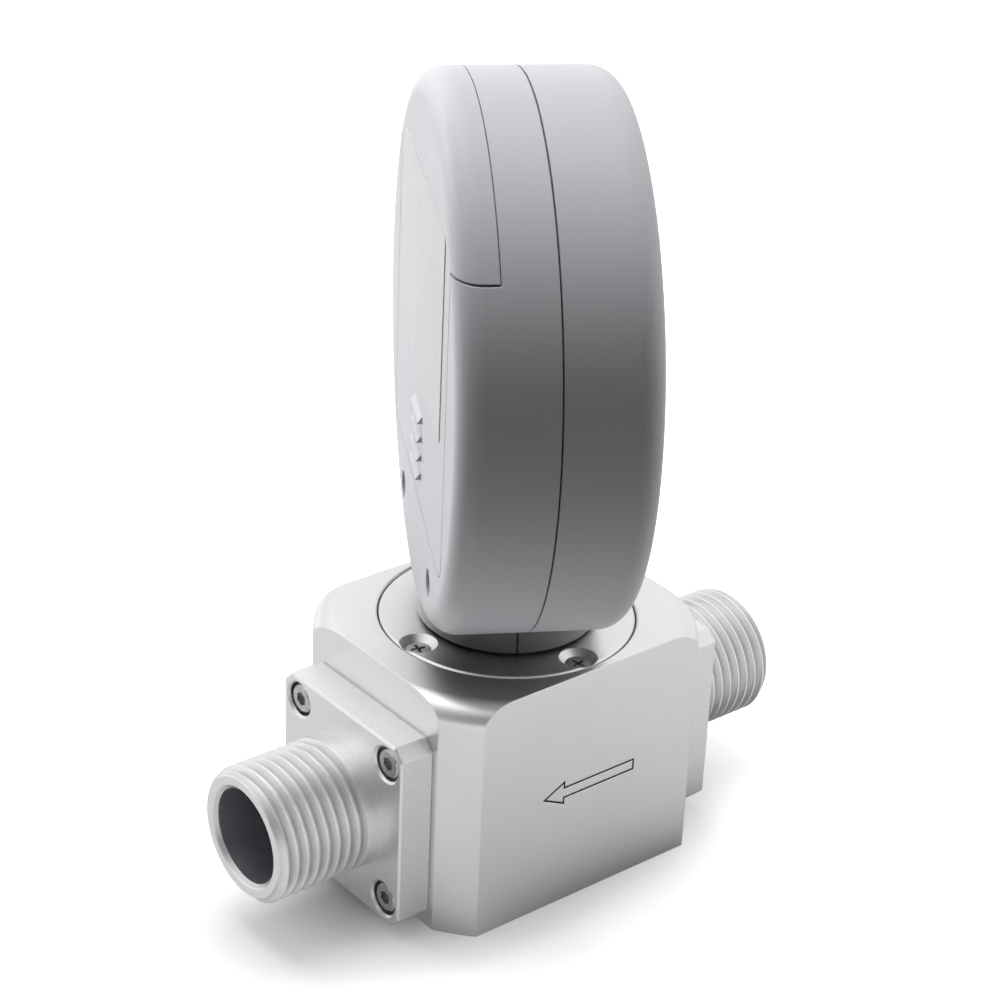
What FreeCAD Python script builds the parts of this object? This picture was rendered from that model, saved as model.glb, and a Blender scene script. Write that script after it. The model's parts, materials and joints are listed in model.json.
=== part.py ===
import FreeCAD, Part
import math
import os

# A gas mass flow meter. The origin is under the block's middle, on the neck axis.
# X runs along the pipe, Z is up, and gas leaves at the -X end. Sizes are in mm.

Vector = FreeCAD.Vector
ORIGIN = Vector(0, 0, 0)
ALONG_X = Vector(1, 0, 0)
ALONG_Y = Vector(0, 1, 0)
ALONG_Z = Vector(0, 0, 1)

# Flow body
body_length = 50.0
body_width = 42.0
body_height = 39.4
body_corner_radius = 29.5
body_top_round = 3.5
passage_radius = 7.4
channel_radius = 7.8
liner_bore_radius = 9.0
liner_stop_length = 6.0
arrow_length = 18.0
arrow_head_length = 4.3
arrow_head_width = 4.2
arrow_shaft_width = 2.0
arrow_rise = 2.5
arrow_line = 0.3
arrow_depth = 0.25

# Pipe fittings: a square flange with a G1/2 male thread
flange_thickness = 5.8
flange_width = 29.6
flange_base_gap = 1.5
flange_top_gap = 6.7
flange_corner = 1.8
flange_edge = 0.3
flange_screw_edge = 3.8
thread_radius = 10.4775
thread_pitch = 1.814
thread_depth = 1.162
thread_root_flat = 0.28
thread_flank_angle = 27.5
thread_clear = 0.1
thread_length = 17.6
thread_collar = 1.3
thread_start_angle = 90.0
thread_tip_chamfer = 1.1
bore_chamfer = 0.7
flange_seal_radius = 11.2
flange_seal_section = 0.75
flange_seal_groove_depth = 1.5
flange_seal_side_gap = 0.15

# Socket cap screws, M2.5
cap_screw_radius = 1.25
cap_head_radius = 2.25
cap_head_height = 2.5
cap_socket_flats = 2.0
cap_socket_depth = 1.3
cap_head_chamfer = 0.25
cap_screw_length = 10.0
counterbore_radius = 2.7
counterbore_depth = 2.9
counterbore_chamfer = 0.35
screw_hole_gap = 0.15
blind_hole_extra = 1.5

# Top plate, its screws and seal
plate_radius = 19.6
plate_thickness = 4.0
plate_gap = 0.2
plate_edge = 0.25
plate_screw_circle = 16.9
plate_screw_count = 4
countersink_radius = 2.9
plate_screw_radius = 1.0
plate_screw_head_radius = 1.9
plate_screw_head_sink = 0.9
plate_screw_length = 8.0
cross_width = 0.55
cross_length = 2.3
cross_depth = 0.8
cross_turn_angle = 25.0
plate_seal_radius = 14.3
plate_seal_section = 0.7
plate_seal_side_gap = 0.1

# Channel liner, straightener and ring
liner_gap = 0.05
throat_radius = 5.0
throat_half_length = 5.0
straightener_length = 6.0
straightener_hole_radius = 1.45
straightener_hole_pitch = 3.7
straightener_rings = 2
ring_thickness = 1.0
ring_outer_radius = 9.6
ring_inner_radius = 8.0
ring_opening = 5.0
ring_end_gap = 5.0

# Sensing plug
sensor_well_radius = 12.4
carrier_flange_thickness = 2.0
carrier_stem_radius = 5.0
carrier_stem_gap = 0.05
carrier_seal_section = 0.6
carrier_seal_drop = 1.6
blade_thickness = 1.2
blade_width = 6.0
blade_depth = 5.5
blade_end_flat = 0.024
chip_size = 2.0
chip_thickness = 0.4
board_post_radius = 1.2
board_post_height = 0.6
board_post_circle = 9.0
board_post_count = 3
sensor_board_radius = 11.4
sensor_board_thickness = 1.2
board_plate_gap = 1.0
header_length = 7.0
header_width = 4.0
header_height = 2.0

# Swivel between the block and the display head
neck_gap = 0.3
swivel_gap = 0.3
collar_spigot_radius = 8.0
collar_bore_radius = 6.5
collar_radius = 9.8
collar_flange_radius = 11.5
collar_flange_start = 5.1
collar_height = 7.6
swivel_seal_section = 0.65
swivel_seal_height = 2.9
swivel_seal_gap = 0.1
stop_pin_radius = 0.7
stop_pin_circle = 11.9
stop_pin_angle = 90.0
stop_pin_rise = 1.2
stop_pin_seat = 2.5
stop_slot_side = 1.0
stop_slot_depth = 1.3
swivel_half_angle = 90.0
head_turn_angle = 59.5

# Display head. Its own frame has the rear along +Y and the origin on the disc's middle.
head_body_gap = 2.6
head_cell_margin = 4.39
head_rear = 14.4
head_round = 4.0
shell_wall = 2.2
cavity_bevel = 2.0
seam_place = 0.5
seam_gap = 0.25
seam_lip_wall = 0.95
seam_lip_length = 1.7
seam_lip_gap = 0.1
housing_seal_thickness = 0.5
neck_radius = 13.7
neck_rise = 10.0
neck_edge = 0.4

# Battery cover
cover_wall = 1.9
cover_gap = 0.25
cover_rim_gap = 0.12
cover_notch_drop = 0.3
cover_rim_start = 8.4
tongue_side_cover = 1.25
tongue_low_cover = 2.4
tongue_corner = 3.0
rail_reach = 1.1
rail_overlap = 1.2
rail_thickness = 0.7
rail_top_gap = 3.5
rail_gap = 0.3
grip_rib_count = 4
grip_rib_pitch = 3.0
grip_rib_height = 1.1
grip_rib_rise = 0.8
grip_width = 8.4
grip_low_gap = 4.0
label_side_margin = 5.2
label_rise = 2.4
label_grip_gap = 4.8
label_thickness = 0.12
label_corner = 1.0

# Battery well and its three AA cells
cell_radius = 7.1
cell_length = 49.2
cell_round = 0.6
cell_nub_radius = 2.75
cell_nub_length = 1.3
cell_count = 3
cell_row_gap = 0.6
cell_row_middle = 2.1
cell_gap = 0.25
well_wall = 1.5
well_floor_gap = 0.15
well_mouth_gap = 1.6
spring_length = 3.0
spring_thickness = 0.4
spring_width = 5.0
spring_foot = 1.5
spring_low = -4.5
spring_crest = 0.6
spring_tail = 3.2
spring_tail_drop = 0.8
contact_thickness = 0.5
contact_side_gap = 1.6
deck_drop = 0.5
deck_wall = 1.6
deck_foot_drop = 2.0
deck_foot_wall = 1.2

# Housing screws
housing_screw_inset = 7.6
housing_screw_angle = 61.66
housing_hole_radius = 2.15
housing_boss_radius = 4.0
housing_post_radius = 3.2
housing_head_radius = 2.0
housing_head_height = 1.5
housing_head_drop = 1.4
housing_shank_radius = 1.2
housing_screw_floor = 3.6

# Front: panel, window, display and keys
panel_rim = 6.9
panel_thickness = 0.8
panel_recess = 0.9
panel_gap = 0.2
window_side_margin = 11.0
window_top_gap = 0.8
window_low_gap = 1.5
window_frame = 1.0
window_lip = 2.0
window_lip_thickness = 1.0
window_corner = 1.5
key_radius = 3.6
key_gap = 0.3
key_spacing = 14.0
key_row_inset = 10.0
key_proud = 0.7
key_travel = 0.8
key_flange = 1.0
key_flange_thickness = 1.0
key_stem_radius = 1.5
key_stem_reach = 0.5
key_edge = 0.4
key_rest_gap = 0.1
switch_size = 6.0
switch_height = 1.7
switch_plunger_radius = 1.6
switch_plunger_height = 0.9
board_rim_gap = 9.7
main_board_thickness = 1.6
main_board_gap = 1.1
board_stand_radius = 2.4
board_stand_inset = 2.8
board_stand_low_angle = -24.6
board_stand_high_angle = 67.4
board_screw_radius = 0.9
board_screw_head_radius = 1.7
board_screw_head_height = 0.9
board_screw_head_gap = 0.1
board_screw_floor = 0.5
lcd_gap = 0.3
lcd_margin = 1.2

# Cable through the neck
wire_radius = 0.6
wire_count = 4
plug_half_width = 3.0
plug_height = 3.0
plug_gap = 0.3
connector_width = 8.0
connector_height = 4.0
connector_half_depth = 1.6
connector_well_gap = 2.4

# Places along the channel, from the inlet's end of the body
body_half = body_length / 2
ring_start = body_half - ring_end_gap - ring_thickness
liner_end = ring_start - straightener_length

# Heights that follow from the body's height
plate_seat = body_height - plate_thickness
flange_height = body_height - flange_base_gap - flange_top_gap
pipe_height = flange_base_gap + flange_height / 2
arrow_height = pipe_height + arrow_rise
thread_tip = flange_thickness + thread_length
sensor_board_top = plate_seat - board_plate_gap
sensor_board_seat = sensor_board_top - sensor_board_thickness
sensor_well_floor = sensor_board_seat - board_post_height - carrier_flange_thickness
carrier_seal_height = sensor_well_floor - carrier_seal_drop
neck_bottom = body_height + neck_gap
neck_top = neck_bottom + neck_rise

# Places along the head's axis, from its rear face through the cells and board to its front
rear_wall_inside = head_rear - shell_wall
cell_axis = head_rear - cover_wall - cell_gap - cell_radius
well_mouth = rear_wall_inside - well_mouth_gap
well_floor = cell_axis - cell_radius - well_floor_gap
board_back = well_floor - well_wall - main_board_gap
board_front = board_back - main_board_thickness
switch_front = board_front - switch_height - switch_plunger_height
key_stem_end = switch_front - key_travel - key_rest_gap
key_flange_back = key_stem_end - key_stem_reach
front_wall_inside = key_flange_back - key_flange_thickness - key_gap
head_front = front_wall_inside - shell_wall
panel_back = head_front + panel_recess
panel_front = panel_back - panel_thickness
deck_back = cover_rim_start - deck_drop
deck_front = deck_back - deck_wall
housing_head_seat = deck_back - housing_head_drop - housing_head_height
housing_screw_reach = front_wall_inside + housing_screw_floor

# The battery well, and the head round it
cell_pitch = 2 * cell_radius + cell_row_gap
well_half_length = (cell_length + cell_nub_length + spring_length) / 2 + contact_thickness
well_low = cell_row_middle - cell_count * cell_pitch / 2
well_high = cell_row_middle + cell_count * cell_pitch / 2
head_radius = math.hypot(well_half_length, well_high) + head_cell_margin
head_height = body_height + head_body_gap + head_radius

# The cover's outline over the well, and what is on it
tongue_half_width = well_half_length + tongue_side_cover
tongue_bottom = well_low - tongue_low_cover
deck_foot = tongue_bottom - deck_foot_drop
cover_notch_height = well_high - cover_notch_drop
rail_top = cover_notch_height - rail_top_gap
grip_bottom = tongue_bottom + grip_low_gap
grip_top = grip_bottom + (grip_rib_count - 1) * grip_rib_pitch + grip_rib_height
label_top = cover_notch_height + label_rise
label_bottom = grip_top + label_grip_gap
label_half_width = tongue_half_width - label_side_margin

# What is in front of the well, from the head's rim inwards
housing_screw_circle = head_radius - housing_screw_inset
panel_radius = head_radius - panel_rim
main_board_radius = head_radius - shell_wall - board_rim_gap
board_stand_circle = main_board_radius - board_stand_inset
key_row = key_row_inset - main_board_radius
connector_low = well_low - well_wall - connector_well_gap - connector_height


def block(low, high):
    """A box between two opposite corners."""
    size = [high[i] - low[i] for i in range(3)]
    return Part.makeBox(size[0], size[1], size[2], Vector(*low))


def rod(radius, start, axis, length):
    """A cylinder from a point along an axis."""
    return Part.makeCylinder(radius, length, Vector(*start), axis)


def prism(points, along):
    """A flat outline, pushed along a vector."""
    outline = Part.makePolygon([Vector(*p) for p in points + points[:1]])
    return Part.Face(outline).extrude(along)


def turned(profile, axis=ALONG_Z):
    """A solid turned from (radius, height) points on local Z, then laid on the axis."""
    outline = Part.makePolygon([Vector(r, 0, h) for r, h in profile + profile[:1]])
    solid = Part.Face(outline).revolve(ORIGIN, ALONG_Z, 360)
    solid.Placement = FreeCAD.Placement(ORIGIN, FreeCAD.Rotation(ALONG_Z, axis))
    return solid


def joined(shapes):
    """One solid from overlapping ones."""
    solid = shapes[0].multiFuse(shapes[1:])
    return solid.removeSplitter()


def group(shapes):
    """Separate solids in one node."""
    return Part.makeCompound(shapes)


def round_edges(solid):
    """The edges of a solid that are whole circles."""
    return [e for e in solid.Edges if isinstance(e.Curve, Part.Circle) and e.Closed]


def long_edges(solid, axis):
    """The straight edges of a solid that run along an axis."""
    straight = [e for e in solid.Edges if isinstance(e.Curve, Part.Line)]
    return [e for e in straight if abs(e.Curve.Direction.dot(axis)) > 0.999]


def moved(shape, place):
    """A copy of a shape, shifted."""
    copy = shape.copy()
    copy.translate(Vector(*place))
    return copy


def spun(shape, angle, middle=ORIGIN, axis=ALONG_Z):
    """A copy of a shape, turned about an axis."""
    copy = shape.copy()
    copy.rotate(middle, axis, angle)
    return copy


def arrow_outline(inset):
    """The flow arrow's solid on the -Y face, its outline drawn in by an inset."""
    tip = -arrow_length / 2
    neck = tip + arrow_head_length
    tail = arrow_length / 2
    slope = math.atan2(arrow_head_width / 2, arrow_head_length)
    tip_in = tip + inset / math.sin(slope)
    back_in = neck - inset
    head_half = (back_in - tip_in) * math.tan(slope)
    shaft_half = arrow_shaft_width / 2 - inset
    upper = [(tip_in, 0), (back_in, head_half), (back_in, shaft_half), (tail - inset, shaft_half)]
    lower = [(x, -z) for x, z in reversed(upper[1:])]
    face = -body_width / 2
    points = [(x, face, arrow_height + z) for x, z in upper + lower]
    return prism(points, ALONG_Y * arrow_depth)


def plate_screw_places():
    """The middles of the top plate's screws, on the plate's top."""
    places = []
    for i in range(plate_screw_count):
        angle = 2 * math.pi * i / plate_screw_count
        x = plate_screw_circle * math.cos(angle)
        y = plate_screw_circle * math.sin(angle)
        places.append((x, y, body_height))
    return places


def countersinks():
    """The conical mouths over the top plate's screws."""
    depth = countersink_radius - plate_screw_radius
    cones = []
    for x, y, z in plate_screw_places():
        middle = Vector(x, y, z - depth)
        cones.append(Part.makeCone(plate_screw_radius, countersink_radius, depth, middle, ALONG_Z))
    return group(cones)


def flange_screw_places():
    """The screw places on a flange: local X is up, local Y is across."""
    half_y = flange_width / 2 - flange_screw_edge
    half_z = flange_height / 2 - flange_screw_edge
    return [(z, y) for z in (-half_z, half_z) for y in (-half_y, half_y)]


def on_end(shape, side):
    """A fitting piece, from its own frame (local Z outwards) to the block's end."""
    placed = spun(shape, -90, ORIGIN, ALONG_Y)
    placed = moved(placed, (-body_half, 0, pipe_height))
    if side > 0:
        placed = spun(placed, 180)
    return placed


def seal_ring(radius, section, height):
    """An O-ring about local Z."""
    return Part.makeTorus(radius, section, Vector(0, 0, height), ALONG_Z)


def seal_groove(radius, section, gap, low, high):
    """The square groove that an O-ring lies in."""
    half = section + gap
    outer = rod(radius + half, (0, 0, low), ALONG_Z, high - low)
    return outer.cut(rod(radius - half, (0, 0, low), ALONG_Z, high - low))


def make_flow_body():
    """The machined block: turned corners and top, channel, plate seat, sensor well."""
    half_width = body_width / 2
    bar = block((-body_half, -half_width, 0), (body_half, half_width, body_height))
    turning = rod(body_corner_radius, (0, 0, 0), ALONG_Z, body_height)
    top_rim = [e for e in round_edges(turning) if e.CenterOfMass.z > body_height / 2]
    body = bar.common(turning.makeFillet(body_top_round, top_rim))
    stop = -body_half + liner_stop_length
    cuts = [
        rod(channel_radius, (-body_half, 0, pipe_height), ALONG_X, liner_stop_length),
        rod(liner_bore_radius, (stop, 0, pipe_height), ALONG_X, body_half - stop),
        rod(ring_outer_radius, (ring_start, 0, pipe_height), ALONG_X, ring_thickness),
        rod(plate_radius + plate_gap, (0, 0, plate_seat), ALONG_Z, plate_thickness),
        rod(sensor_well_radius, (0, 0, sensor_well_floor), ALONG_Z, plate_seat - sensor_well_floor),
        rod(carrier_stem_radius + carrier_stem_gap, (0, 0, pipe_height), ALONG_Z,
            sensor_well_floor - pipe_height),
        Part.makeCone(plate_radius + plate_gap, plate_radius + plate_gap + plate_edge, plate_edge,
                      Vector(0, 0, body_height - plate_edge), ALONG_Z),
        seal_groove(plate_seal_radius, plate_seal_section, plate_seal_side_gap,
                    plate_seat - 2 * plate_seal_section, plate_seat),
        countersinks(),
        arrow_outline(0).cut(arrow_outline(arrow_line)),
    ]
    hole = plate_screw_length - plate_thickness + plate_screw_head_sink + blind_hole_extra
    for x, y, z in plate_screw_places():
        cuts.append(rod(plate_screw_radius + liner_gap, (x, y, plate_seat - hole), ALONG_Z, hole))
    grip = cap_screw_length + counterbore_depth - flange_thickness + blind_hole_extra
    for side in (-1, 1):
        for x, y in flange_screw_places():
            hole = rod(cap_screw_radius + liner_gap, (x, y, -grip), ALONG_Z, grip)
            cuts.append(on_end(hole, side))
    return body.cut(cuts)


def thread_groove():
    """The helical groove between the thread's crests, open past the tip."""
    start = flange_thickness + thread_collar + thread_pitch / 2
    overshoot = 2 * thread_pitch
    helix = Part.makeHelix(thread_pitch, thread_tip + overshoot - start, thread_radius)
    helix.translate(Vector(0, 0, start))
    slope = math.tan(math.radians(thread_flank_angle))
    root_half = thread_root_flat / 2
    mouth_half = root_half + (thread_depth + thread_clear) * slope
    root = thread_radius - thread_depth
    mouth = thread_radius + thread_clear
    corners = [(mouth, -mouth_half), (root, -root_half), (root, root_half), (mouth, mouth_half)]
    points = [Vector(r, 0, start + h) for r, h in corners + corners[:1]]
    profile = Part.makePolygon(points)
    groove = Part.Wire(helix.Edges).makePipeShell([profile], True, True)
    return spun(groove, thread_start_angle)


def make_fitting():
    """One pipe fitting in its own frame: flange, threaded stem, bore, counterbores."""
    half_z = flange_height / 2
    half_y = flange_width / 2
    flange = block((-half_z, -half_y, 0), (half_z, half_y, flange_thickness))
    flange = flange.makeChamfer(flange_corner, long_edges(flange, ALONG_Z))
    flat_edges = [e for e in flange.Edges if abs(e.tangentAt(e.FirstParameter).z) < 0.1]
    flange = flange.makeChamfer(flange_edge, flat_edges)
    tip_radius = thread_radius - thread_tip_chamfer
    stem = turned([
        (0, 0), (thread_radius, 0), (thread_radius, thread_tip - thread_tip_chamfer),
        (tip_radius, thread_tip), (0, thread_tip)])
    fitting = flange.fuse(stem)
    mouth = Part.makeCone(passage_radius, passage_radius + bore_chamfer, bore_chamfer,
                          Vector(0, 0, thread_tip - bore_chamfer), ALONG_Z)
    cuts = [
        rod(passage_radius, (0, 0, 0), ALONG_Z, thread_tip),
        mouth,
        seal_groove(flange_seal_radius, flange_seal_section, flange_seal_side_gap,
                    0, flange_seal_groove_depth),
    ]
    floor = flange_thickness - counterbore_depth
    lip = flange_thickness - counterbore_chamfer
    for x, y in flange_screw_places():
        cuts.append(rod(cap_screw_radius + screw_hole_gap, (x, y, 0), ALONG_Z, floor))
        cuts.append(rod(counterbore_radius, (x, y, floor), ALONG_Z, counterbore_depth))
        cuts.append(Part.makeCone(counterbore_radius, counterbore_radius + counterbore_chamfer,
                                  counterbore_chamfer, Vector(x, y, lip), ALONG_Z))
    return fitting.cut(cuts).cut(thread_groove())


def make_cap_screw():
    """A socket cap screw, its head's seat at local Z 0 and its shank below."""
    top = cap_head_height
    screw = turned([
        (0, -cap_screw_length), (cap_screw_radius, -cap_screw_length), (cap_screw_radius, 0),
        (cap_head_radius, 0), (cap_head_radius, top - cap_head_chamfer),
        (cap_head_radius - cap_head_chamfer, top), (0, top)])
    corner = cap_socket_flats / 2 / math.cos(math.pi / 6)
    angles = [math.pi / 3 * i for i in range(6)]
    points = [(corner * math.cos(a), corner * math.sin(a), top - cap_socket_depth) for a in angles]
    return screw.cut(prism(points, ALONG_Z * cap_socket_depth))


def make_flange_screws(side):
    """The four cap screws of one flange."""
    floor = flange_thickness - counterbore_depth
    screw = make_cap_screw()
    return group([on_end(moved(screw, (x, y, floor)), side) for x, y in flange_screw_places()])


def make_flange_seal(side):
    """The O-ring behind one flange."""
    middle = flange_seal_groove_depth / 2
    return on_end(seal_ring(flange_seal_radius, flange_seal_section, middle), side)


def make_top_plate():
    """The round plate in the block's top, with its screw holes and the collar's bore."""
    plate = turned([
        (collar_spigot_radius, 0), (plate_radius, 0), (plate_radius, plate_thickness - plate_edge),
        (plate_radius - plate_edge, plate_thickness), (collar_spigot_radius, plate_thickness)])
    plate = moved(plate, (0, 0, plate_seat))
    cuts = [countersinks()]
    for x, y, z in plate_screw_places():
        hole_radius = plate_screw_radius + liner_gap
        cuts.append(rod(hole_radius, (x, y, plate_seat), ALONG_Z, plate_thickness))
    cuts.append(stop_pin_rod(body_height - stop_pin_seat, body_height))
    return plate.cut(cuts)


def stop_pin_rod(low, high):
    """A cylinder of the stop pin's size between two heights."""
    angle = math.radians(stop_pin_angle)
    x = stop_pin_circle * math.cos(angle)
    y = stop_pin_circle * math.sin(angle)
    return rod(stop_pin_radius, (x, y, low), ALONG_Z, high - low)


def make_plate_screws():
    """Countersunk cross-recess screws, their heads sunk below the plate's top."""
    head_height = plate_screw_head_radius - plate_screw_radius
    half_length = cross_length / 2
    half_width = cross_width / 2
    slot = block((-half_length, -half_width, -cross_depth), (half_length, half_width, 0))
    screw = turned([
        (0, -plate_screw_length), (plate_screw_radius, -plate_screw_length),
        (plate_screw_radius, -head_height), (plate_screw_head_radius, 0), (0, 0)])
    screw = screw.cut([slot, spun(slot, 90)])
    sunk = plate_screw_head_sink + liner_gap
    screws = []
    for i, (x, y, z) in enumerate(plate_screw_places()):
        screws.append(moved(spun(screw, cross_turn_angle * (i + 1)), (x, y, z - sunk)))
    return group(screws)


def make_top_plate_seal():
    """The O-ring under the top plate."""
    return seal_ring(plate_seal_radius, plate_seal_section, plate_seat - plate_seal_section)


def make_flow_nozzle():
    """The channel liner: a smooth contraction to the throat and a slower widening."""
    stop = -body_half + liner_stop_length
    outer = liner_bore_radius - liner_gap
    throat = throat_half_length
    widening = Part.BezierCurve()
    middle = (stop - throat) / 2
    widening.setPoles([Vector(stop, 0, channel_radius), Vector(middle, 0, channel_radius),
                       Vector(middle, 0, throat_radius), Vector(-throat, 0, throat_radius)])
    contraction = Part.BezierCurve()
    middle = (liner_end + throat) / 2
    contraction.setPoles([Vector(throat, 0, throat_radius), Vector(middle, 0, throat_radius),
                          Vector(middle, 0, channel_radius), Vector(liner_end, 0, channel_radius)])
    throat_line = Part.makeLine(Vector(-throat, 0, throat_radius), Vector(throat, 0, throat_radius))
    outside = Part.makePolygon([
        Vector(liner_end, 0, channel_radius), Vector(liner_end, 0, outer),
        Vector(stop, 0, outer), Vector(stop, 0, channel_radius)])
    edges = [widening.toShape(), throat_line, contraction.toShape()] + outside.Edges
    section = Part.Face(Part.Wire(Part.__sortEdges__(edges)))
    nozzle = moved(section.revolve(ORIGIN, ALONG_X, 360), (0, 0, pipe_height))
    return nozzle.cut(rod(carrier_stem_radius + carrier_stem_gap, (0, 0, pipe_height),
                          ALONG_Z, outer))


def make_flow_straightener():
    """A thick disc with hexagonally spaced holes, ahead of the nozzle."""
    start = (liner_end, 0, pipe_height)
    disc = rod(liner_bore_radius - liner_gap, start, ALONG_X, straightener_length)
    holes = []
    rows = range(-straightener_rings, straightener_rings + 1)
    for i in rows:
        for j in rows:
            if abs(i + j) > straightener_rings:
                continue
            y = straightener_hole_pitch * (i + j / 2)
            z = straightener_hole_pitch * j * math.sqrt(3) / 2
            place = (liner_end, y, pipe_height + z)
            holes.append(rod(straightener_hole_radius, place, ALONG_X, straightener_length))
    return disc.cut(holes)


def make_retaining_ring():
    """The open spring ring that holds the straightener."""
    start = (ring_start, 0, pipe_height)
    ring = rod(ring_outer_radius - liner_gap, start, ALONG_X, ring_thickness)
    low = (ring_start, -ring_opening / 2, pipe_height - ring_outer_radius)
    high = (ring_start + ring_thickness, ring_opening / 2, pipe_height)
    return ring.cut([rod(ring_inner_radius, start, ALONG_X, ring_thickness), block(low, high)])


def make_sensor_carrier():
    """The plug that carries the sensor: flange, stem with a seal groove, thin blade."""
    top = sensor_well_floor + carrier_flange_thickness
    stem_end = pipe_height + throat_radius + carrier_stem_gap
    groove = carrier_stem_radius - 2 * carrier_seal_section
    low = carrier_seal_height - carrier_seal_section
    high = carrier_seal_height + carrier_seal_section
    flange_radius = sensor_well_radius - carrier_stem_gap
    plug = turned([
        (0, stem_end), (carrier_stem_radius, stem_end), (carrier_stem_radius, low),
        (groove, low), (groove, high), (carrier_stem_radius, high),
        (carrier_stem_radius, sensor_well_floor), (flange_radius, sensor_well_floor),
        (flange_radius, top), (0, top)])
    blade = block((-blade_width / 2, -blade_thickness / 2, stem_end - blade_depth),
                  (blade_width / 2, blade_thickness / 2, stem_end))
    blade = blade.makeFillet(blade_thickness / 2 - blade_end_flat, long_edges(blade, ALONG_Z))
    posts = []
    for i in range(board_post_count):
        angle = 2 * math.pi * i / board_post_count
        place = (board_post_circle * math.cos(angle), board_post_circle * math.sin(angle), top)
        posts.append(rod(board_post_radius, place, ALONG_Z, board_post_height))
    return joined([plug, blade] + posts)


def make_sensor_seal():
    """The O-ring in the stem's groove."""
    radius = carrier_stem_radius - carrier_seal_section
    return seal_ring(radius, carrier_seal_section, carrier_seal_height)


def make_sensor_chip():
    """The sensing chip on the side of the blade."""
    half = chip_size / 2
    face = -blade_thickness / 2
    middle = pipe_height + throat_radius + carrier_stem_gap - blade_depth + chip_size
    return block((-half, face - chip_thickness, middle - half), (half, face, middle + half))


def make_sensor_board():
    """The round circuit board on the plug, with its pin header."""
    top = sensor_board_top
    board = rod(sensor_board_radius, (0, 0, sensor_board_seat), ALONG_Z, sensor_board_thickness)
    half_length = header_length / 2
    half_width = header_width / 2
    header = block((-half_length, -half_width, top), (half_length, half_width, top + header_height))
    return joined([board, header])


def make_swivel_collar():
    """The flanged bush pressed into the top plate, which the neck turns on."""
    base = body_height
    seal_low = base + swivel_seal_height - swivel_seal_section
    seal_high = base + swivel_seal_height + swivel_seal_section
    seal_root = collar_radius + swivel_gap - swivel_seal_gap - 2 * swivel_seal_section
    return turned([
        (collar_bore_radius, plate_seat), (collar_spigot_radius, plate_seat),
        (collar_spigot_radius, base), (collar_radius, base), (collar_radius, seal_low),
        (seal_root, seal_low), (seal_root, seal_high), (collar_radius, seal_high),
        (collar_radius, base + collar_flange_start),
        (collar_flange_radius, base + collar_flange_start),
        (collar_flange_radius, base + collar_height), (collar_bore_radius, base + collar_height)])


def make_swivel_seal():
    """The O-ring in the collar, just inside the neck's bore."""
    radius = collar_radius + swivel_gap - swivel_seal_gap - swivel_seal_section
    return seal_ring(radius, swivel_seal_section, body_height + swivel_seal_height)


def make_stop_pin():
    """The pin that ends the head's turn."""
    return stop_pin_rod(body_height - stop_pin_seat, body_height + stop_pin_rise)


def in_head(shape):
    """A display head piece, from the head's own frame to its place on the neck."""
    return moved(spun(shape, head_turn_angle), (0, 0, head_height))


def disc(radius, front, back, edge_round):
    """A round slab across local Y with rounded rims."""
    flat = radius - edge_round
    slant = edge_round * math.sqrt(0.5)
    edges = [Part.makeLine(Vector(0, back, 0), Vector(0, front, 0))]
    for face, inward in ((front, edge_round), (back, -edge_round)):
        middle = face + inward
        bend = Part.Arc(Vector(flat, face, 0),
                        Vector(flat + slant, middle - math.copysign(slant, inward), 0),
                        Vector(radius, middle, 0))
        edges.append(bend.toBSpline().toShape())
        edges.append(Part.makeLine(Vector(0, face, 0), Vector(flat, face, 0)))
    edges.append(Part.makeLine(Vector(radius, front + edge_round, 0),
                               Vector(radius, back - edge_round, 0)))
    section = Part.Face(Part.Wire(Part.__sortEdges__(edges)))
    return section.revolve(ORIGIN, ALONG_Y, 360)


def bevelled_disc(radius, front, back):
    """A round slab across local Y with bevelled rims, for the hollows."""
    flat = radius - cavity_bevel
    return turned([
        (0, front), (flat, front), (radius, front + cavity_bevel), (radius, back - cavity_bevel),
        (flat, back), (0, back)], ALONG_Y)


def cavity():
    """The hollow inside the display head."""
    return bevelled_disc(head_radius - shell_wall, front_wall_inside, rear_wall_inside)


def neck_z(height):
    """A height above the table, in the head's own frame."""
    return height - head_height


def neck_bores():
    """The room for the collar inside the neck, and the stop pin's slot."""
    lip_top = body_height + collar_flange_start - swivel_gap
    room_top = body_height + collar_height + swivel_gap
    lip = rod(collar_radius + swivel_gap, (0, 0, neck_z(neck_bottom)), ALONG_Z,
              lip_top - neck_bottom)
    room = rod(collar_flange_radius + swivel_gap, (0, 0, neck_z(lip_top)), ALONG_Z,
               room_top - lip_top)
    cable_way = rod(collar_bore_radius, (0, 0, neck_z(room_top)), ALONG_Z, neck_top - room_top)
    margin = math.degrees((stop_pin_radius + swivel_gap) / stop_pin_circle)
    sweep = 2 * swivel_half_angle + 2 * margin
    base = Vector(0, 0, neck_z(neck_bottom))
    outer = Part.makeCylinder(stop_pin_circle + stop_slot_side, stop_slot_depth, base, ALONG_Z, sweep)
    inner = Part.makeCylinder(stop_pin_circle - stop_slot_side, stop_slot_depth, base, ALONG_Z, sweep)
    slot = spun(outer.cut(inner), stop_pin_angle - swivel_half_angle - margin)
    return [lip, room, cable_way, slot]


def hollow_housing():
    """The whole housing before it is parted: walls, neck, collar room."""
    outside = disc(head_radius, head_front, head_rear, head_round)
    skin = outside.cut(cavity())
    neck = rod(neck_radius, (0, 0, neck_z(neck_bottom)), ALONG_Z, neck_rise)
    foot = [e for e in round_edges(neck) if e.CenterOfMass.z < neck_z(neck_bottom) + neck_edge]
    neck = neck.makeChamfer(neck_edge, foot)
    return skin.fuse(neck).cut(neck_bores())


def half_space(front, back):
    """A box wider than the head, between two places along its axis."""
    reach = 2 * head_radius
    return block((-reach, front, -reach), (reach, back, reach))


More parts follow.
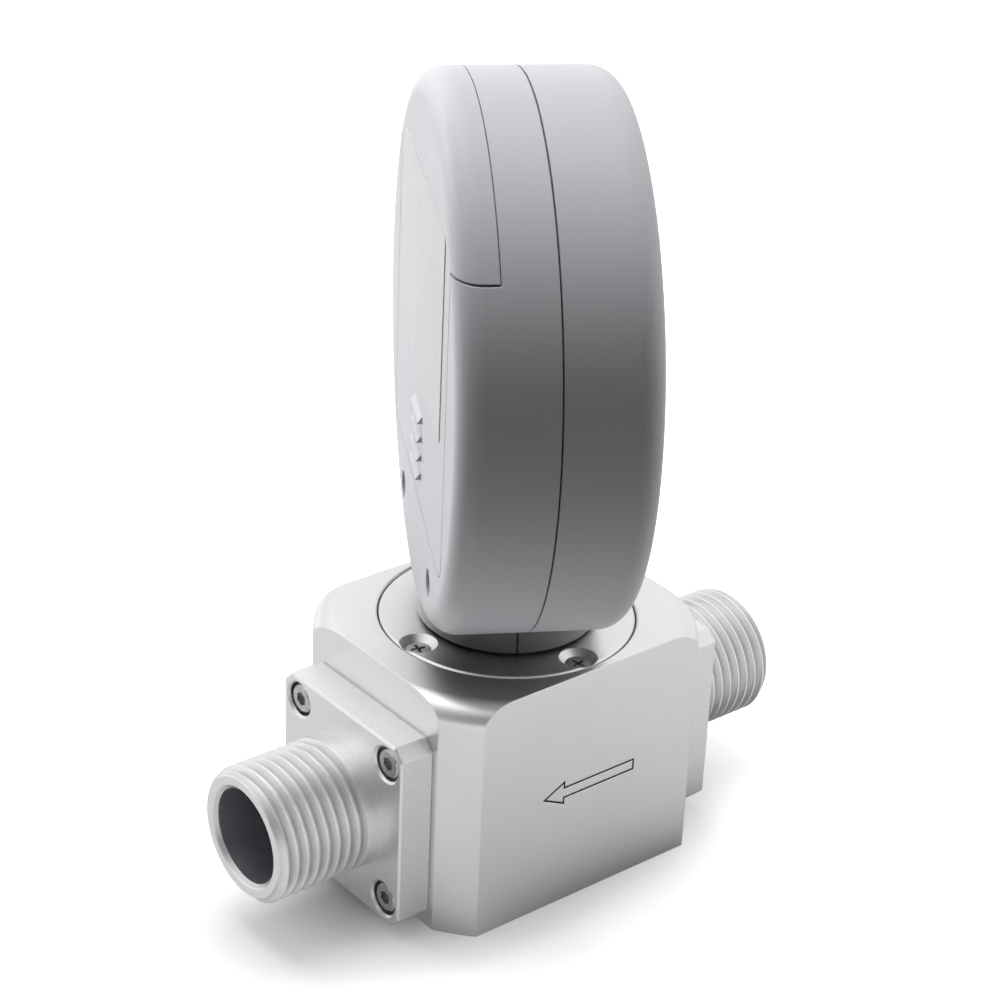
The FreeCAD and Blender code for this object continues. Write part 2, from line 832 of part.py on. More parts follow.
def on_circle(radius, angle):
    """A place on a circle about the head's axis, across and up, at an angle above level."""
    return radius * math.cos(math.radians(angle)), radius * math.sin(math.radians(angle))


def housing_screw_places():
    """The four housing screws, across and up from the head's middle."""
    x, z = on_circle(housing_screw_circle, housing_screw_angle)
    return [(-x, -z), (x, -z), (-x, z), (x, z)]


def tongue_outline(gap):
    """The battery cover's tongue as a prism through the rear wall."""
    side = tongue_half_width + gap
    low = tongue_bottom - gap
    start = rear_wall_inside - shell_wall / 2
    tongue = block((-side, start, low),
                   (side, head_rear + cover_wall, cover_notch_height + cover_wall))
    corners = [e for e in long_edges(tongue, ALONG_Y) if e.CenterOfMass.z < 0]
    return tongue.makeFillet(tongue_corner + gap, corners)


def cover_top_region(notch_gap, rim_gap):
    """The part of the head above the cover's notches and behind its rim line."""
    reach = 2 * head_radius
    low = (-reach, cover_rim_start - rim_gap, cover_notch_height - notch_gap)
    return block(low, (reach, reach, reach))


def rail_blocks(gap, high):
    """The sliding rails beside the tongue, or their way up through the rear shell."""
    top = rear_wall_inside - rail_gap
    low = tongue_bottom + tongue_corner - gap
    inner = tongue_half_width - rail_overlap
    outer = tongue_half_width + rail_reach + gap
    rails = []
    for side in (-1, 1):
        x_low, x_high = sorted((side * inner, side * outer))
        rails.append(block((x_low, top - rail_thickness - gap, low), (x_high, top + gap, high)))
    return rails


def rear_fittings():
    """What is moulded inside the rear half: battery well, deck, foot wall, screw bosses."""
    half = well_half_length + well_wall
    well = block((-half, well_floor - well_wall, well_low - well_wall),
                 (half, well_mouth, well_high + well_wall))
    deck = block((-head_radius, deck_front, deck_foot), (head_radius, deck_back, head_radius))
    foot = block((-half, deck_front, deck_foot),
                 (half, rear_wall_inside, deck_foot + deck_foot_wall))
    pieces = [well, deck, foot]
    start = seam_place + seam_gap / 2
    for x, z in housing_screw_places():
        boss_end = deck_back if z > 0 else rear_wall_inside
        pieces.append(rod(housing_boss_radius, (x, start, z), ALONG_Y, boss_end - start))
    into_wall = shell_wall / 2
    room = bevelled_disc(head_radius - shell_wall + into_wall, front_wall_inside,
                         rear_wall_inside + into_wall)
    return [piece.common(room) for piece in pieces]


def seam_rabbet():
    """The step inside the rear shell's edge, for the front shell's lip and the gasket."""
    inner = head_radius - shell_wall
    length = seam_lip_length + housing_seal_thickness
    step = rod(inner + seam_lip_wall + seam_lip_gap, (0, seam_place, 0), ALONG_Y, length)
    return step.cut(rod(inner, (0, seam_place, 0), ALONG_Y, length))


def make_rear_shell():
    """The rear half: battery well, deck, screw bosses, cover opening, half of the neck."""
    shell = hollow_housing().common(half_space(seam_place + seam_gap / 2, 2 * head_rear))
    top_region = cover_top_region(cover_gap, cover_rim_gap)
    shell = shell.cut([tongue_outline(cover_gap), top_region])
    shell = shell.multiFuse(rear_fittings())
    half = well_half_length
    cuts = [block((-half, well_floor, well_low), (half, 2 * head_rear, well_high))]
    cuts.append(top_region.cut(cavity()))
    for x, z in housing_screw_places():
        cuts.append(rod(housing_hole_radius, (x, housing_head_seat, z), ALONG_Y, 2 * head_rear))
        cuts.append(rod(housing_shank_radius + screw_hole_gap, (x, 0, z), ALONG_Y, head_rear))
    return shell.cut(cuts + rail_blocks(rail_gap, head_radius) + [seam_rabbet()])


def board_stand_places():
    """The four posts that carry the main board, across and up."""
    places = []
    for angle in (board_stand_low_angle, board_stand_high_angle):
        x, z = on_circle(board_stand_circle, angle)
        places += [(-x, z), (x, z)]
    return places


def window_size():
    """The window's width, height and middle, which fit between the board's posts."""
    low_post = board_stand_places()[0][1]
    high_post = board_stand_places()[-1][1]
    low = low_post + board_stand_radius + window_low_gap + window_lip
    high = high_post - board_stand_radius - window_top_gap - window_lip
    return 2 * (panel_radius - window_side_margin), high - low, (low + high) / 2


def rounded_plate(width, height, front, back, middle, corner):
    """A plate with rounded corners across local Y."""
    plate = block((-width / 2, front, middle - height / 2), (width / 2, back, middle + height / 2))
    return plate.makeFillet(corner, long_edges(plate, ALONG_Y))


def key_places():
    """The key middles along the row."""
    return [-key_spacing, 0.0, key_spacing]


def make_front_shell():
    """The front half: panel recess, window and key openings, posts, lip, half of the neck."""
    end = seam_place - seam_gap / 2
    shell = hollow_housing().common(half_space(2 * head_front, end))
    inside = []
    for x, z in housing_screw_places():
        inside.append(rod(housing_post_radius, (x, front_wall_inside, z), ALONG_Y,
                          end - front_wall_inside))
    for x, z in board_stand_places():
        inside.append(rod(board_stand_radius, (x, front_wall_inside, z), ALONG_Y,
                          board_front - front_wall_inside))
    lip_outer = head_radius - shell_wall + seam_lip_wall
    lip_start = front_wall_inside + cavity_bevel
    lip = rod(lip_outer, (0, lip_start, 0), ALONG_Y, seam_place + seam_lip_length - lip_start)
    lip = lip.cut([
        rod(head_radius - shell_wall, (0, lip_start, 0), ALONG_Y, 2 * head_rear),
        rod(neck_radius + seam_lip_gap, (0, 0, neck_z(neck_bottom)), ALONG_Z, neck_rise)])
    shell = shell.multiFuse(inside + [lip])
    cuts = [rod(panel_radius + panel_gap, (0, head_front, 0), ALONG_Y, panel_recess)]
    width, height, middle = window_size()
    cuts.append(rounded_plate(width + 2 * liner_gap, height + 2 * liner_gap, head_front,
                              board_front, middle, window_corner))
    for x in key_places():
        cuts.append(rod(key_radius + key_gap, (x, head_front, key_row), ALONG_Y,
                        board_front - head_front))
    for x, z in housing_screw_places():
        cuts.append(rod(housing_shank_radius, (x, housing_screw_reach, z), ALONG_Y, head_rear * 2))
    for x, z in board_stand_places():
        cuts.append(rod(board_screw_radius, (x, front_wall_inside, z), ALONG_Y, head_rear))
    return shell.cut(cuts)


def make_housing_seal():
    """The gasket between the front shell's lip and the rear shell's step."""
    start = (0, seam_place + seam_lip_length, 0)
    outer = rod(head_radius - shell_wall + seam_lip_wall, start, ALONG_Y, housing_seal_thickness)
    ring = outer.cut(rod(head_radius - shell_wall, start, ALONG_Y, housing_seal_thickness))
    return ring.cut(rod(neck_radius + seam_lip_gap, (0, 0, neck_z(neck_bottom)), ALONG_Z, neck_rise))


def make_housing_screws():
    """The four screws that hold the shells together."""
    screws = []
    for x, z in housing_screw_places():
        shank = rod(housing_shank_radius, (x, housing_screw_reach, z), ALONG_Y,
                    housing_head_seat - housing_screw_reach)
        head = rod(housing_head_radius, (x, housing_head_seat, z), ALONG_Y, housing_head_height)
        middle = housing_head_seat + housing_head_height / 2
        head_top = [e for e in round_edges(head) if e.CenterOfMass.y > middle]
        head = head.makeFillet(housing_head_height / 3, head_top)
        slot_start = housing_head_seat + housing_head_height - cross_depth
        half_length = cross_length / 2
        half_width = cross_width / 2
        slot = block((-half_length, slot_start, -half_width), (half_length, 2 * head_rear, half_width))
        slots = [moved(slot, (x, 0, z)), moved(spun(slot, 90, ORIGIN, ALONG_Y), (x, 0, z))]
        screws.append(joined([shank, head]).cut(slots))
    return group(screws)


def make_battery_cover():
    """The cover: the top of the rear shell with a tongue, rails and a thumb grip."""
    outside = disc(head_radius, head_front, head_rear, head_round)
    inside = bevelled_disc(head_radius - cover_wall, head_front + cover_wall,
                           head_rear - cover_wall)
    skin = outside.cut(inside)
    cover = skin.common(tongue_outline(0).fuse(cover_top_region(0, 0)))
    top = rear_wall_inside - rail_gap
    low = tongue_bottom + tongue_corner
    webs = []
    for side in (-1, 1):
        x_low, x_high = sorted((side * (tongue_half_width - rail_overlap),
                                side * (tongue_half_width - rail_overlap / 2)))
        webs.append(block((x_low, top - rail_thickness, low),
                          (x_high, head_rear - cover_wall, rail_top)))
    rails = [rail.common(inside) for rail in rail_blocks(0, rail_top)]
    webs = [web.common(outside) for web in webs]
    return joined([cover] + rails + webs + grip_ribs())


def grip_ribs():
    """The wedge-shaped ribs for the thumb."""
    half = grip_width / 2
    ribs = []
    for i in range(grip_rib_count):
        top = grip_top - i * grip_rib_pitch
        low = top - grip_rib_height
        inside = head_rear - cover_wall / 2
        points = [(-half, inside, top), (-half, head_rear, top),
                  (-half, head_rear + grip_rib_rise, low), (-half, inside, low)]
        ribs.append(prism(points, ALONG_X * grip_width))
    return ribs


def make_cover_label():
    """The plain sticker on the cover."""
    return rounded_plate(2 * label_half_width, label_top - label_bottom, head_rear,
                         head_rear + label_thickness, (label_top + label_bottom) / 2, label_corner)


def cell_rows():
    """Each cell's height and the side that its nub points to."""
    rows = []
    for i in range(cell_count):
        z = cell_row_middle + (i - (cell_count - 1) / 2) * cell_pitch
        rows.append((z, 1 if i % 2 == 0 else -1))
    return rows


def make_batteries():
    """Three cells across the head, nubs on alternate sides."""
    cells = []
    for z, side in cell_rows():
        nub_end = well_half_length - contact_thickness
        can_end = nub_end - cell_nub_length
        can = rod(cell_radius, (can_end - cell_length, 0, 0), ALONG_X, cell_length)
        can = can.makeFillet(cell_round, round_edges(can))
        nub = rod(cell_nub_radius, (0, 0, 0), ALONG_X, nub_end)
        cell = joined([can, nub])
        if side < 0:
            cell = spun(cell, 180)
        cells.append(moved(cell, (0, cell_axis, z)))
    return group(cells)


def make_battery_contacts():
    """The sprung-steel plates at both ends of every cell."""
    plates = []
    half = cell_radius - contact_side_gap
    for z, side in cell_rows():
        for end in (-1, 1):
            x = end * (well_half_length - contact_thickness / 2)
            plates.append(block(
                (x - contact_thickness / 2, well_floor, z - half),
                (x + contact_thickness / 2, well_mouth, z + half)))
    return group(plates)


def make_battery_springs():
    """A bent leaf spring at the flat end of every cell."""
    foot_end = spring_low + spring_foot
    tail = spring_length - spring_tail_drop
    points = [
        (0, spring_low), (spring_thickness, spring_low), (spring_thickness, foot_end),
        (spring_length, spring_crest), (tail, spring_tail), (tail - spring_thickness, spring_tail),
        (spring_length - spring_thickness, spring_crest), (0, foot_end)]
    half = spring_width / 2
    leaf = prism([(x, -half, z) for x, z in points], ALONG_Y * spring_width)
    leaf = moved(leaf, (contact_thickness - well_half_length, 0, 0))
    springs = []
    for z, side in cell_rows():
        placed = spun(leaf, 180) if side < 0 else leaf
        springs.append(moved(placed, (0, cell_axis, z)))
    return group(springs)


def make_main_board():
    """The main circuit board, with a flat foot above the neck and its screw holes."""
    board = rod(main_board_radius, (0, board_front, 0), ALONG_Y, main_board_thickness)
    holes = [rod(board_screw_radius + screw_hole_gap, (x, board_front, z), ALONG_Y,
                 main_board_thickness) for x, z in board_stand_places()]
    return board.cut(holes)


def make_board_screws():
    """The four small screws that hold the main board to its posts."""
    screws = []
    for x, z in board_stand_places():
        tip = front_wall_inside + board_screw_floor
        shank = rod(board_screw_radius, (x, tip, z), ALONG_Y, board_back - tip)
        head_height = min(board_screw_head_height, main_board_gap - board_screw_head_gap)
        head = rod(board_screw_head_radius, (x, board_back, z), ALONG_Y, head_height)
        screws.append(joined([shank, head]))
    return group(screws)


def window_back():
    """The place of the window lens's rear face."""
    return front_wall_inside + window_lip_thickness


def make_lcd_module():
    """The display on the main board, just behind the window."""
    width, height, middle = window_size()
    return rounded_plate(width + 2 * lcd_margin, height + 2 * lcd_margin,
                         window_back() + lcd_gap, board_front, middle, window_corner)


def make_display_window():
    """The stepped clear lens: it fills the front wall's opening and has a rim behind it."""
    width, height, middle = window_size()
    pane = rounded_plate(width, height, panel_back, front_wall_inside, middle, window_corner)
    rim = rounded_plate(width + 2 * window_lip, height + 2 * window_lip,
                        front_wall_inside, window_back(), middle, window_corner)
    return joined([pane, rim])


def make_front_panel():
    """The round front panel with its window and key holes."""
    panel = rod(panel_radius, (0, panel_front, 0), ALONG_Y, panel_thickness)
    width, height, middle = window_size()
    cuts = [rounded_plate(width - 2 * window_frame, height - 2 * window_frame,
                          panel_front, panel_back, middle, window_corner)]
    for x in key_places():
        cuts.append(rod(key_radius + key_gap, (x, panel_front, key_row), ALONG_Y, panel_thickness))
    return panel.cut(cuts)


def make_key(x):
    """One key: cap, flange behind the front wall, stem over its switch."""
    front = panel_front - key_proud
    flange_front = front_wall_inside + key_gap
    cap = rod(key_radius, (x, front, key_row), ALONG_Y, key_flange_back - front)
    cap_rim = [e for e in round_edges(cap) if e.CenterOfMass.y < front + key_edge]
    cap = cap.makeFillet(key_edge, cap_rim)
    flange = rod(key_radius + key_flange, (x, flange_front, key_row), ALONG_Y, key_flange_thickness)
    stem = rod(key_stem_radius, (x, front, key_row), ALONG_Y, key_stem_end - front)
    return joined([cap, flange, stem])


def make_key_switches():
    """The three push switches on the main board."""
    switches = []
    half = switch_size / 2
    for x in key_places():
        base_front = board_front - switch_height
        base = block((x - half, base_front, key_row - half), (x + half, board_front, key_row + half))
        plunger = rod(switch_plunger_radius, (x, switch_front, key_row), ALONG_Y,
                      switch_plunger_height)
        switches.append(joined([base, plunger]))
    return group(switches)


def make_cable_connector():
    """The connector on the main board, above the neck."""
    half = connector_width / 2
    return block((-half, board_back, connector_low),
                 (half, connector_half_depth, connector_low + connector_height))


def make_sensor_cable():
    """Four wires up the neck axis, with the plug that meets the sensor board's header."""
    plug_low = neck_z(sensor_board_top + header_height + plug_gap)
    plug = block((-plug_half_width, -plug_half_width / 2, plug_low),
                 (plug_half_width, plug_half_width / 2, plug_low + plug_height))
    start = plug_low + plug_height
    wires = []
    for i in range(wire_count):
        x = (i - (wire_count - 1) / 2) * 2 * wire_radius
        wires.append(rod(wire_radius, (x, 0, start), ALONG_Z, connector_low - start))
    return group([plug] + wires)


def export(name, shape):
    """One node as a STEP file."""
    shape.exportStep(os.path.join("parts", name + ".step"))


def build():
    """Every node of the meter."""
    os.makedirs("parts", exist_ok=True)
    fitting = make_fitting()
    nodes = {
        "flow_body": make_flow_body(),
        "outlet_fitting": on_end(fitting, -1),
        "inlet_fitting": on_end(fitting, 1),
        "outlet_seal": make_flange_seal(-1),
        "inlet_seal": make_flange_seal(1),
        "outlet_screws": make_flange_screws(-1),
        "inlet_screws": make_flange_screws(1),
        "flow_nozzle": make_flow_nozzle(),
        "flow_straightener": make_flow_straightener(),
        "retaining_ring": make_retaining_ring(),
        "sensor_carrier": make_sensor_carrier(),
        "sensor_seal": make_sensor_seal(),
        "sensor_chip": make_sensor_chip(),
        "sensor_board": make_sensor_board(),
        "top_plate": make_top_plate(),
        "top_plate_seal": make_top_plate_seal(),
        "top_plate_screws": make_plate_screws(),
        "swivel_collar": make_swivel_collar(),
        "swivel_seal": make_swivel_seal(),
        "stop_pin": make_stop_pin(),
    }
    head_nodes = {
        "rear_shell": make_rear_shell(),
        "front_shell": make_front_shell(),
        "housing_seal": make_housing_seal(),
        "housing_screws": make_housing_screws(),
        "battery_cover": make_battery_cover(),
        "cover_label": make_cover_label(),
        "batteries": make_batteries(),
        "battery_contacts": make_battery_contacts(),
        "battery_springs": make_battery_springs(),
        "main_board": make_main_board(),
        "board_screws": make_board_screws(),
        "lcd_module": make_lcd_module(),
        "display_window": make_display_window(),
        "front_panel": make_front_panel(),
        "key_switches": make_key_switches(),
        "cable_connector": make_cable_connector(),
        "sensor_cable": make_sensor_cable(),
    }
    for name, x in zip(("key_right", "key_middle", "key_left"), key_places()):
        head_nodes[name] = make_key(x)
    for name, shape in head_nodes.items():
        nodes[name] = in_head(shape)
    for name, shape in nodes.items():
        export(name, shape)


build()
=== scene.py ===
"""Looks, light and camera for the gas mass flow meter, in metres and in the part's own frame."""

import json
import math

import bpy
from mathutils import Matrix, Vector


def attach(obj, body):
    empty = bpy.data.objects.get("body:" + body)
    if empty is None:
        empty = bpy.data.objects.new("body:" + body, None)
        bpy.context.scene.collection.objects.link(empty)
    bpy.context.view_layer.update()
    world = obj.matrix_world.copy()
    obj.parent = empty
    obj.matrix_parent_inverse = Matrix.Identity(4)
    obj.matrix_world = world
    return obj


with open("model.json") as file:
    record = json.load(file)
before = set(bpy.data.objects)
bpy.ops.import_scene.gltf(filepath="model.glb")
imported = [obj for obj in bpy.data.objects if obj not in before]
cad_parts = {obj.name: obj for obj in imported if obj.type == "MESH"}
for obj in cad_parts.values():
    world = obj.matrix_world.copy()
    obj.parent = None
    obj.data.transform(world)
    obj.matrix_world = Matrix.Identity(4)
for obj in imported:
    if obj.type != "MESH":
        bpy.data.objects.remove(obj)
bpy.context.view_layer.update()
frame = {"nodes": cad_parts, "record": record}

# Places on the part that its finishes follow
PIPE_HEIGHT = 0.0171
BORE_RADIUS = 0.0074
BORE_MARGIN = 0.00005
THREAD_START = 0.0335
THREAD_END = 0.0482
THREAD_ROOT = 0.0094
THREAD_CREST = 0.0101
BLOCK_FRONT = -0.021
FRONT_MARGIN = 0.00002
ARROW_HEIGHT = 0.0196
ARROW_HALF_TALL = 0.003
ARROW_HALF_LONG = 0.0095
ARROW_DEPTH = 0.0004
HEAD_TURN = math.radians(59.5)

# The radii that finishes give to sharp edges, and the samples that each takes
BLOCK_EDGE = 0.00022
MACHINED_EDGE = 0.00012
MOULDED_EDGE = 0.00025
LABEL_EDGE = 0.0003
BEVEL_SAMPLES = 4
# The cosine between an edge's softened normal and its face: on the edge itself, and beside it
EDGE_COSINES = (0.80, 0.985)

# The stretch of 0 to 1 that a noise takes up in the main
NOISE_SPAN = (0.3, 0.7)
# The numbers of a Mix node's first and second input and its output, for each kind of value
MIX_SOCKETS = {"RGBA": (6, 7, 2), "FLOAT": (2, 3, 0)}

# The studio floor, to each kind of ray: the middle of its glow, how much x and y count in the
# distance from there, the glow at several distances, and the share of the lamps' light it returns.
# The glows are painted light: weak near the object, they paint a shadow there for the camera and in
# reflections; for diffuse rays a bright patch near it glows, though it is no lamp, to light the
# object
FLOOR_PAINTED_GLOWS = (
    ("Is Camera Ray", (-0.010, -0.002), (0.5, 1.0),
     ((0.010, 0.03), (0.0177, 0.41), (0.023, 0.57), (0.0275, 0.78), (0.037, 1.0)), 0.45),
    ("Is Glossy Ray", (0.006, 0.0), (0.55, 1.0),
     ((0.022, 0.16), (0.033, 0.43), (0.070, 0.46), (0.250, 0.9)), 0.24),
    ("Is Diffuse Ray", (-0.032, 0.019), (1.0, 1.0),
     ((0.078, 1.20), (0.098, 0.15), (0.200, 0.08)), 0.14),
    ("Is Transmission Ray", (0.0, 0.0), (1.0, 1.0), ((0.0, 1.0), (0.1, 1.0)), 0.0),
)
FLOOR_REACH = 0.25
FLOOR_RADIUS = 4.0
FLOOR_CORNERS = 96

# The studio in reflections: pale, dark towards the camera's side, with a weak pale disc overhead.
# The two have a direction, a tone and the cosines at which their soft edges start and end
CAMERA_SIDE = (-0.640, -0.768, 0.0)
CAMERA_SIDE_TONE = 0.24
CAMERA_SIDE_EDGE = (0.12, 0.92)
OVERHEAD = (0.0, 0.29, 0.957)
OVERHEAD_TONE = 0.75
OVERHEAD_EDGE = (0.74, 0.97)
FAR_SIDE_TONE = 0.94
# What the world gives to all other rays, and the point that the lamps face
WORLD_BOUNCE = 0.03
LAMPS_AIM = Vector((0, 0, 0.06))

# The camera's place and its own axes, fitted to the edges of the block, flanges and head, with
# its focal length and the photograph's width in pixels, and its sensor's width in millimetres
CAMERA_PLACE = Vector((-0.224576, -0.266515, 0.236380))
CAMERA_RIGHT = Vector((0.780234, -0.624228, 0.039681))
CAMERA_UP = Vector((0.256813, 0.377549, 0.889665))
CAMERA_BACK = Vector((-0.570335, -0.683956, 0.454887))
CAMERA_NEAR = 0.01
FOCAL_PIXELS = 2622.54
PHOTO_PIXELS = 1000.0
SENSOR_WIDTH = 36.0


def wired(tree, kind, inputs=None, **settings):
    """A node with its inputs set, or linked where they are sockets, by name or number."""
    node = tree.nodes.new(kind)
    for key, value in settings.items():
        setattr(node, key, value)
    for key, value in (inputs or {}).items():
        if isinstance(value, bpy.types.NodeSocket):
            tree.links.new(value, node.inputs[key])
        else:
            node.inputs[key].default_value = value
    return node


def math_of(tree, operation, *values):
    """A Math node on numbers or sockets."""
    return wired(tree, "ShaderNodeMath", dict(enumerate(values)), operation=operation).outputs[0]


def vector_of(tree, operation, *values, result="Vector"):
    """A Vector Math node on vectors or sockets."""
    node = wired(tree, "ShaderNodeVectorMath", dict(enumerate(values)), operation=operation)
    return node.outputs[result]


def ranged_of(tree, value, low, high, start, end, **settings):
    """A value moved from one range to another, kept inside it."""
    return wired(tree, "ShaderNodeMapRange", {
        "Value": value, "From Min": low, "From Max": high, "To Min": start, "To Max": end},
        clamp=True, **settings).outputs["Result"]


class Material:
    """A procedural material: one Principled shader and the nodes that feed it."""

    def __init__(self, name, color, roughness, metallic=0.0, specular=0.5):
        self.name = name
        self.material = bpy.data.materials.new(name)
        self.material.use_nodes = True
        self.tree = self.material.node_tree
        self.shader = self.tree.nodes["Principled BSDF"]
        self.shader.inputs["Base Color"].default_value = (*color, 1.0)
        self.shader.inputs["Metallic"].default_value = metallic
        self.shader.inputs["Roughness"].default_value = roughness
        self.shader.inputs["Specular IOR Level"].default_value = specular
        self.roughness = roughness
        self.normal = None
        self.place = self.node("ShaderNodeTexCoord").outputs["Object"]

    def node(self, kind, inputs=None, **settings):
        """A new node of this material."""
        return wired(self.tree, kind, inputs, **settings)

    def math(self, operation, *values):
        """A Math node of this material."""
        return math_of(self.tree, operation, *values)

    def feed(self, source, name):
        """The shader's own socket of that name, linked to a source."""
        self.tree.links.new(source, self.shader.inputs[name])

    def ranged(self, value, low, high, start=0.0, end=1.0):
        """A value moved from one range to another, 0 to 1 unless told."""
        return ranged_of(self.tree, value, low, high, start, end)

    def between(self, value, low, high):
        """1 where a value lies between two numbers, 0 elsewhere."""
        return self.math("MULTIPLY", self.math("GREATER_THAN", value, low),
                         self.math("LESS_THAN", value, high))

    def turned(self, angle):
        """The surface's own coordinates, turned back about Z."""
        return self.node("ShaderNodeMapping", {"Vector": self.place, "Rotation": (0, 0, angle)},
                         vector_type="TEXTURE").outputs[0]

    def noise(self, scale, detail=3.0, rough=0.5, finer=(1, 1, 1)):
        """Soft noise, made finer along each axis by a factor."""
        place = vector_of(self.tree, "MULTIPLY", self.place, finer)
        return self.node("ShaderNodeTexNoise", {
            "Vector": place, "Scale": scale, "Detail": detail, "Roughness": rough}).outputs["Fac"]

    def take_normal(self, node):
        """The shader's normal comes from this node, and the next relief builds on it."""
        self.normal = node.outputs["Normal"]
        self.feed(self.normal, "Normal")

    def bevel(self, radius):
        """Soft highlights on the sharp edges."""
        self.take_normal(self.node("ShaderNodeBevel", {"Radius": radius}, samples=BEVEL_SAMPLES))

    def bump(self, height, distance):
        """Fine relief from a height value, over what is there already."""
        inputs = {"Strength": 1.0, "Distance": distance, "Height": height}
        if self.normal is not None:
            inputs["Normal"] = self.normal
        self.take_normal(self.node("ShaderNodeBump", inputs))

    def mixed(self, name, kind, factor, other):
        """What feeds a shader's socket now, mixed with another value by a 0 to 1 factor."""
        target = self.shader.inputs[name]
        now = target.links[0].from_socket if target.links else target.default_value
        first, second, result = MIX_SOCKETS[kind]
        mix = self.node("ShaderNodeMix", {0: factor, first: now, second: other}, data_type=kind)
        self.feed(mix.outputs[result], name)

    def where(self, mask, color, roughness=None):
        """Another colour, and roughness if it is given, where a 0 to 1 mask says so."""
        self.mixed("Base Color", "RGBA", mask, (*color, 1.0))
        if roughness is not None:
            self.mixed("Roughness", "FLOAT", mask, roughness)

    def tint(self, value, color, span=NOISE_SPAN):
        """Another colour where a value nears the top of its span."""
        self.where(self.ranged(value, *span), color)

    def rough(self, value, swing):
        """Roughness that wanders about its own value."""
        low, high = self.roughness - swing, self.roughness + swing
        self.feed(self.ranged(value, *NOISE_SPAN, low, high), "Roughness")

    def split(self):
        """The X, Y and Z of the surface's own coordinates."""
        return self.node("ShaderNodeSeparateXYZ", {0: self.place}).outputs

    def pipe_radius(self):
        """The distance from the pipe's axis."""
        _, y, z = self.split()
        up = self.math("SUBTRACT", z, PIPE_HEIGHT)
        squares = self.math("ADD", self.math("MULTIPLY", y, y), self.math("MULTIPLY", up, up))
        return self.math("SQRT", squares)

    def edge_mask(self):
        """0 on flat and gently curved surfaces, up to 1 along the bevelled edges."""
        face = self.node("ShaderNodeNewGeometry").outputs["True Normal"]
        cosine = vector_of(self.tree, "DOT_PRODUCT", self.normal, face, result="Value")
        return self.ranged(cosine, *EDGE_COSINES, 1.0, 0.0)

    def bore_shade_mask(self):
        """1 inside the gas passage, 0 outside it."""
        return self.math("LESS_THAN", self.pipe_radius(), BORE_RADIUS + BORE_MARGIN)

    def thread_root_shade_mask(self):
        """0 on the crests of the pipe threads, 1 at their roots, 0 away from them."""
        threaded = self.between(self.math("ABSOLUTE", self.split()[0]), THREAD_START, THREAD_END)
        depth = self.ranged(self.pipe_radius(), THREAD_ROOT, THREAD_CREST, 1.0, 0.0)
        return self.math("MULTIPLY", threaded, depth)

    def arrow_mask(self):
        """1 in the engraved lines of the flow arrow, 0 outside them."""
        x, y, z = self.split()
        along = self.between(x, -ARROW_HALF_LONG, ARROW_HALF_LONG)
        deep = self.between(y, BLOCK_FRONT + FRONT_MARGIN, BLOCK_FRONT + ARROW_DEPTH)
        tall = self.between(z, ARROW_HEIGHT - ARROW_HALF_TALL, ARROW_HEIGHT + ARROW_HALF_TALL)
        return self.math("MULTIPLY", deep, self.math("MULTIPLY", tall, along))


def shaded(color, share):
    """A share of a colour."""
    return tuple(share * c for c in color)


def body_aluminium():
    """Finely finished aluminium: faint mill lines, a fine blasted grain, paler edges, dark arrow."""
    mat = Material("body_aluminium", (0.86, 0.86, 0.85), 0.36, metallic=1.0)
    mat.bevel(BLOCK_EDGE)
    edges = mat.edge_mask()
    grain = mat.noise(7000, detail=2.0)
    lines = mat.noise(90, detail=4.0, finer=(1, 1, 60))
    cloud = mat.noise(60)
    mat.bump(grain, 0.000006)
    mat.bump(lines, 0.000004)
    half_lines, half_cloud = mat.math("MULTIPLY", lines, 0.5), mat.math("MULTIPLY", cloud, 0.5)
    mat.rough(mat.math("ADD", half_lines, half_cloud), 0.05)
    mat.tint(cloud, (0.83, 0.83, 0.82))
    mat.where(edges, (0.96, 0.96, 0.95), 0.28)
    mat.where(mat.arrow_mask(), (0.05, 0.05, 0.06))
    return mat


def fitting_aluminium():
    """Bead-blasted aluminium, grainier than the block, with painted shade in the thread and the
    bore.
    """
    mat = Material("fitting_aluminium", (0.90, 0.90, 0.90), 0.35, metallic=1.0)
    mat.bevel(MACHINED_EDGE)
    edges = mat.edge_mask()
    grain = mat.noise(3600, rough=0.6)
    mat.bump(grain, 0.000036)
    mat.rough(grain, 0.07)
    mat.tint(grain, (0.82, 0.82, 0.82))
    # Painted shade: the thread roots are darker, where they lie in shade
    mat.where(mat.thread_root_shade_mask(), (0.70, 0.70, 0.70))
    # Paler, smoother edges and thread crests: partly polish from handling, partly painted highlight
    mat.where(edges, (0.97, 0.97, 0.97), 0.30)
    # Painted shade and a painted bluish reflection inside the bore
    mat.where(mat.bore_shade_mask(), (0.66, 0.67, 0.71), 0.41)
    return mat


def screw_steel():
    """Bright stainless steel with faint smears."""
    mat = Material("screw_steel", (0.62, 0.61, 0.60), 0.26, metallic=1.0)
    mat.bevel(MACHINED_EDGE)
    mat.bump(mat.noise(3500), 0.000004)
    mat.rough(mat.noise(900, detail=2.0), 0.07)
    mat.tint(mat.noise(700), (0.50, 0.49, 0.48))
    return mat


def rubber(name, color):
    """Matt rubber or cable sheath with a fine grain."""
    mat = Material(name, color, 0.65, specular=0.35)
    mat.bump(mat.noise(2500, detail=2.0), 0.00001)
    mat.rough(mat.noise(400), 0.08)
    mat.tint(mat.noise(150), shaded(color, 0.7))
    return mat


def moulded(name, color, roughness, grain, shade=0.95):
    """Moulded plastic with a fine erosion texture."""
    mat = Material(name, color, roughness, specular=0.45)
    mat.bevel(MOULDED_EDGE)
    mat.bump(mat.noise(grain, detail=2.0, rough=0.6), 0.000006)
    mat.rough(mat.noise(120), 0.04)
    mat.tint(mat.noise(35, detail=2.0), shaded(color, shade))
    return mat


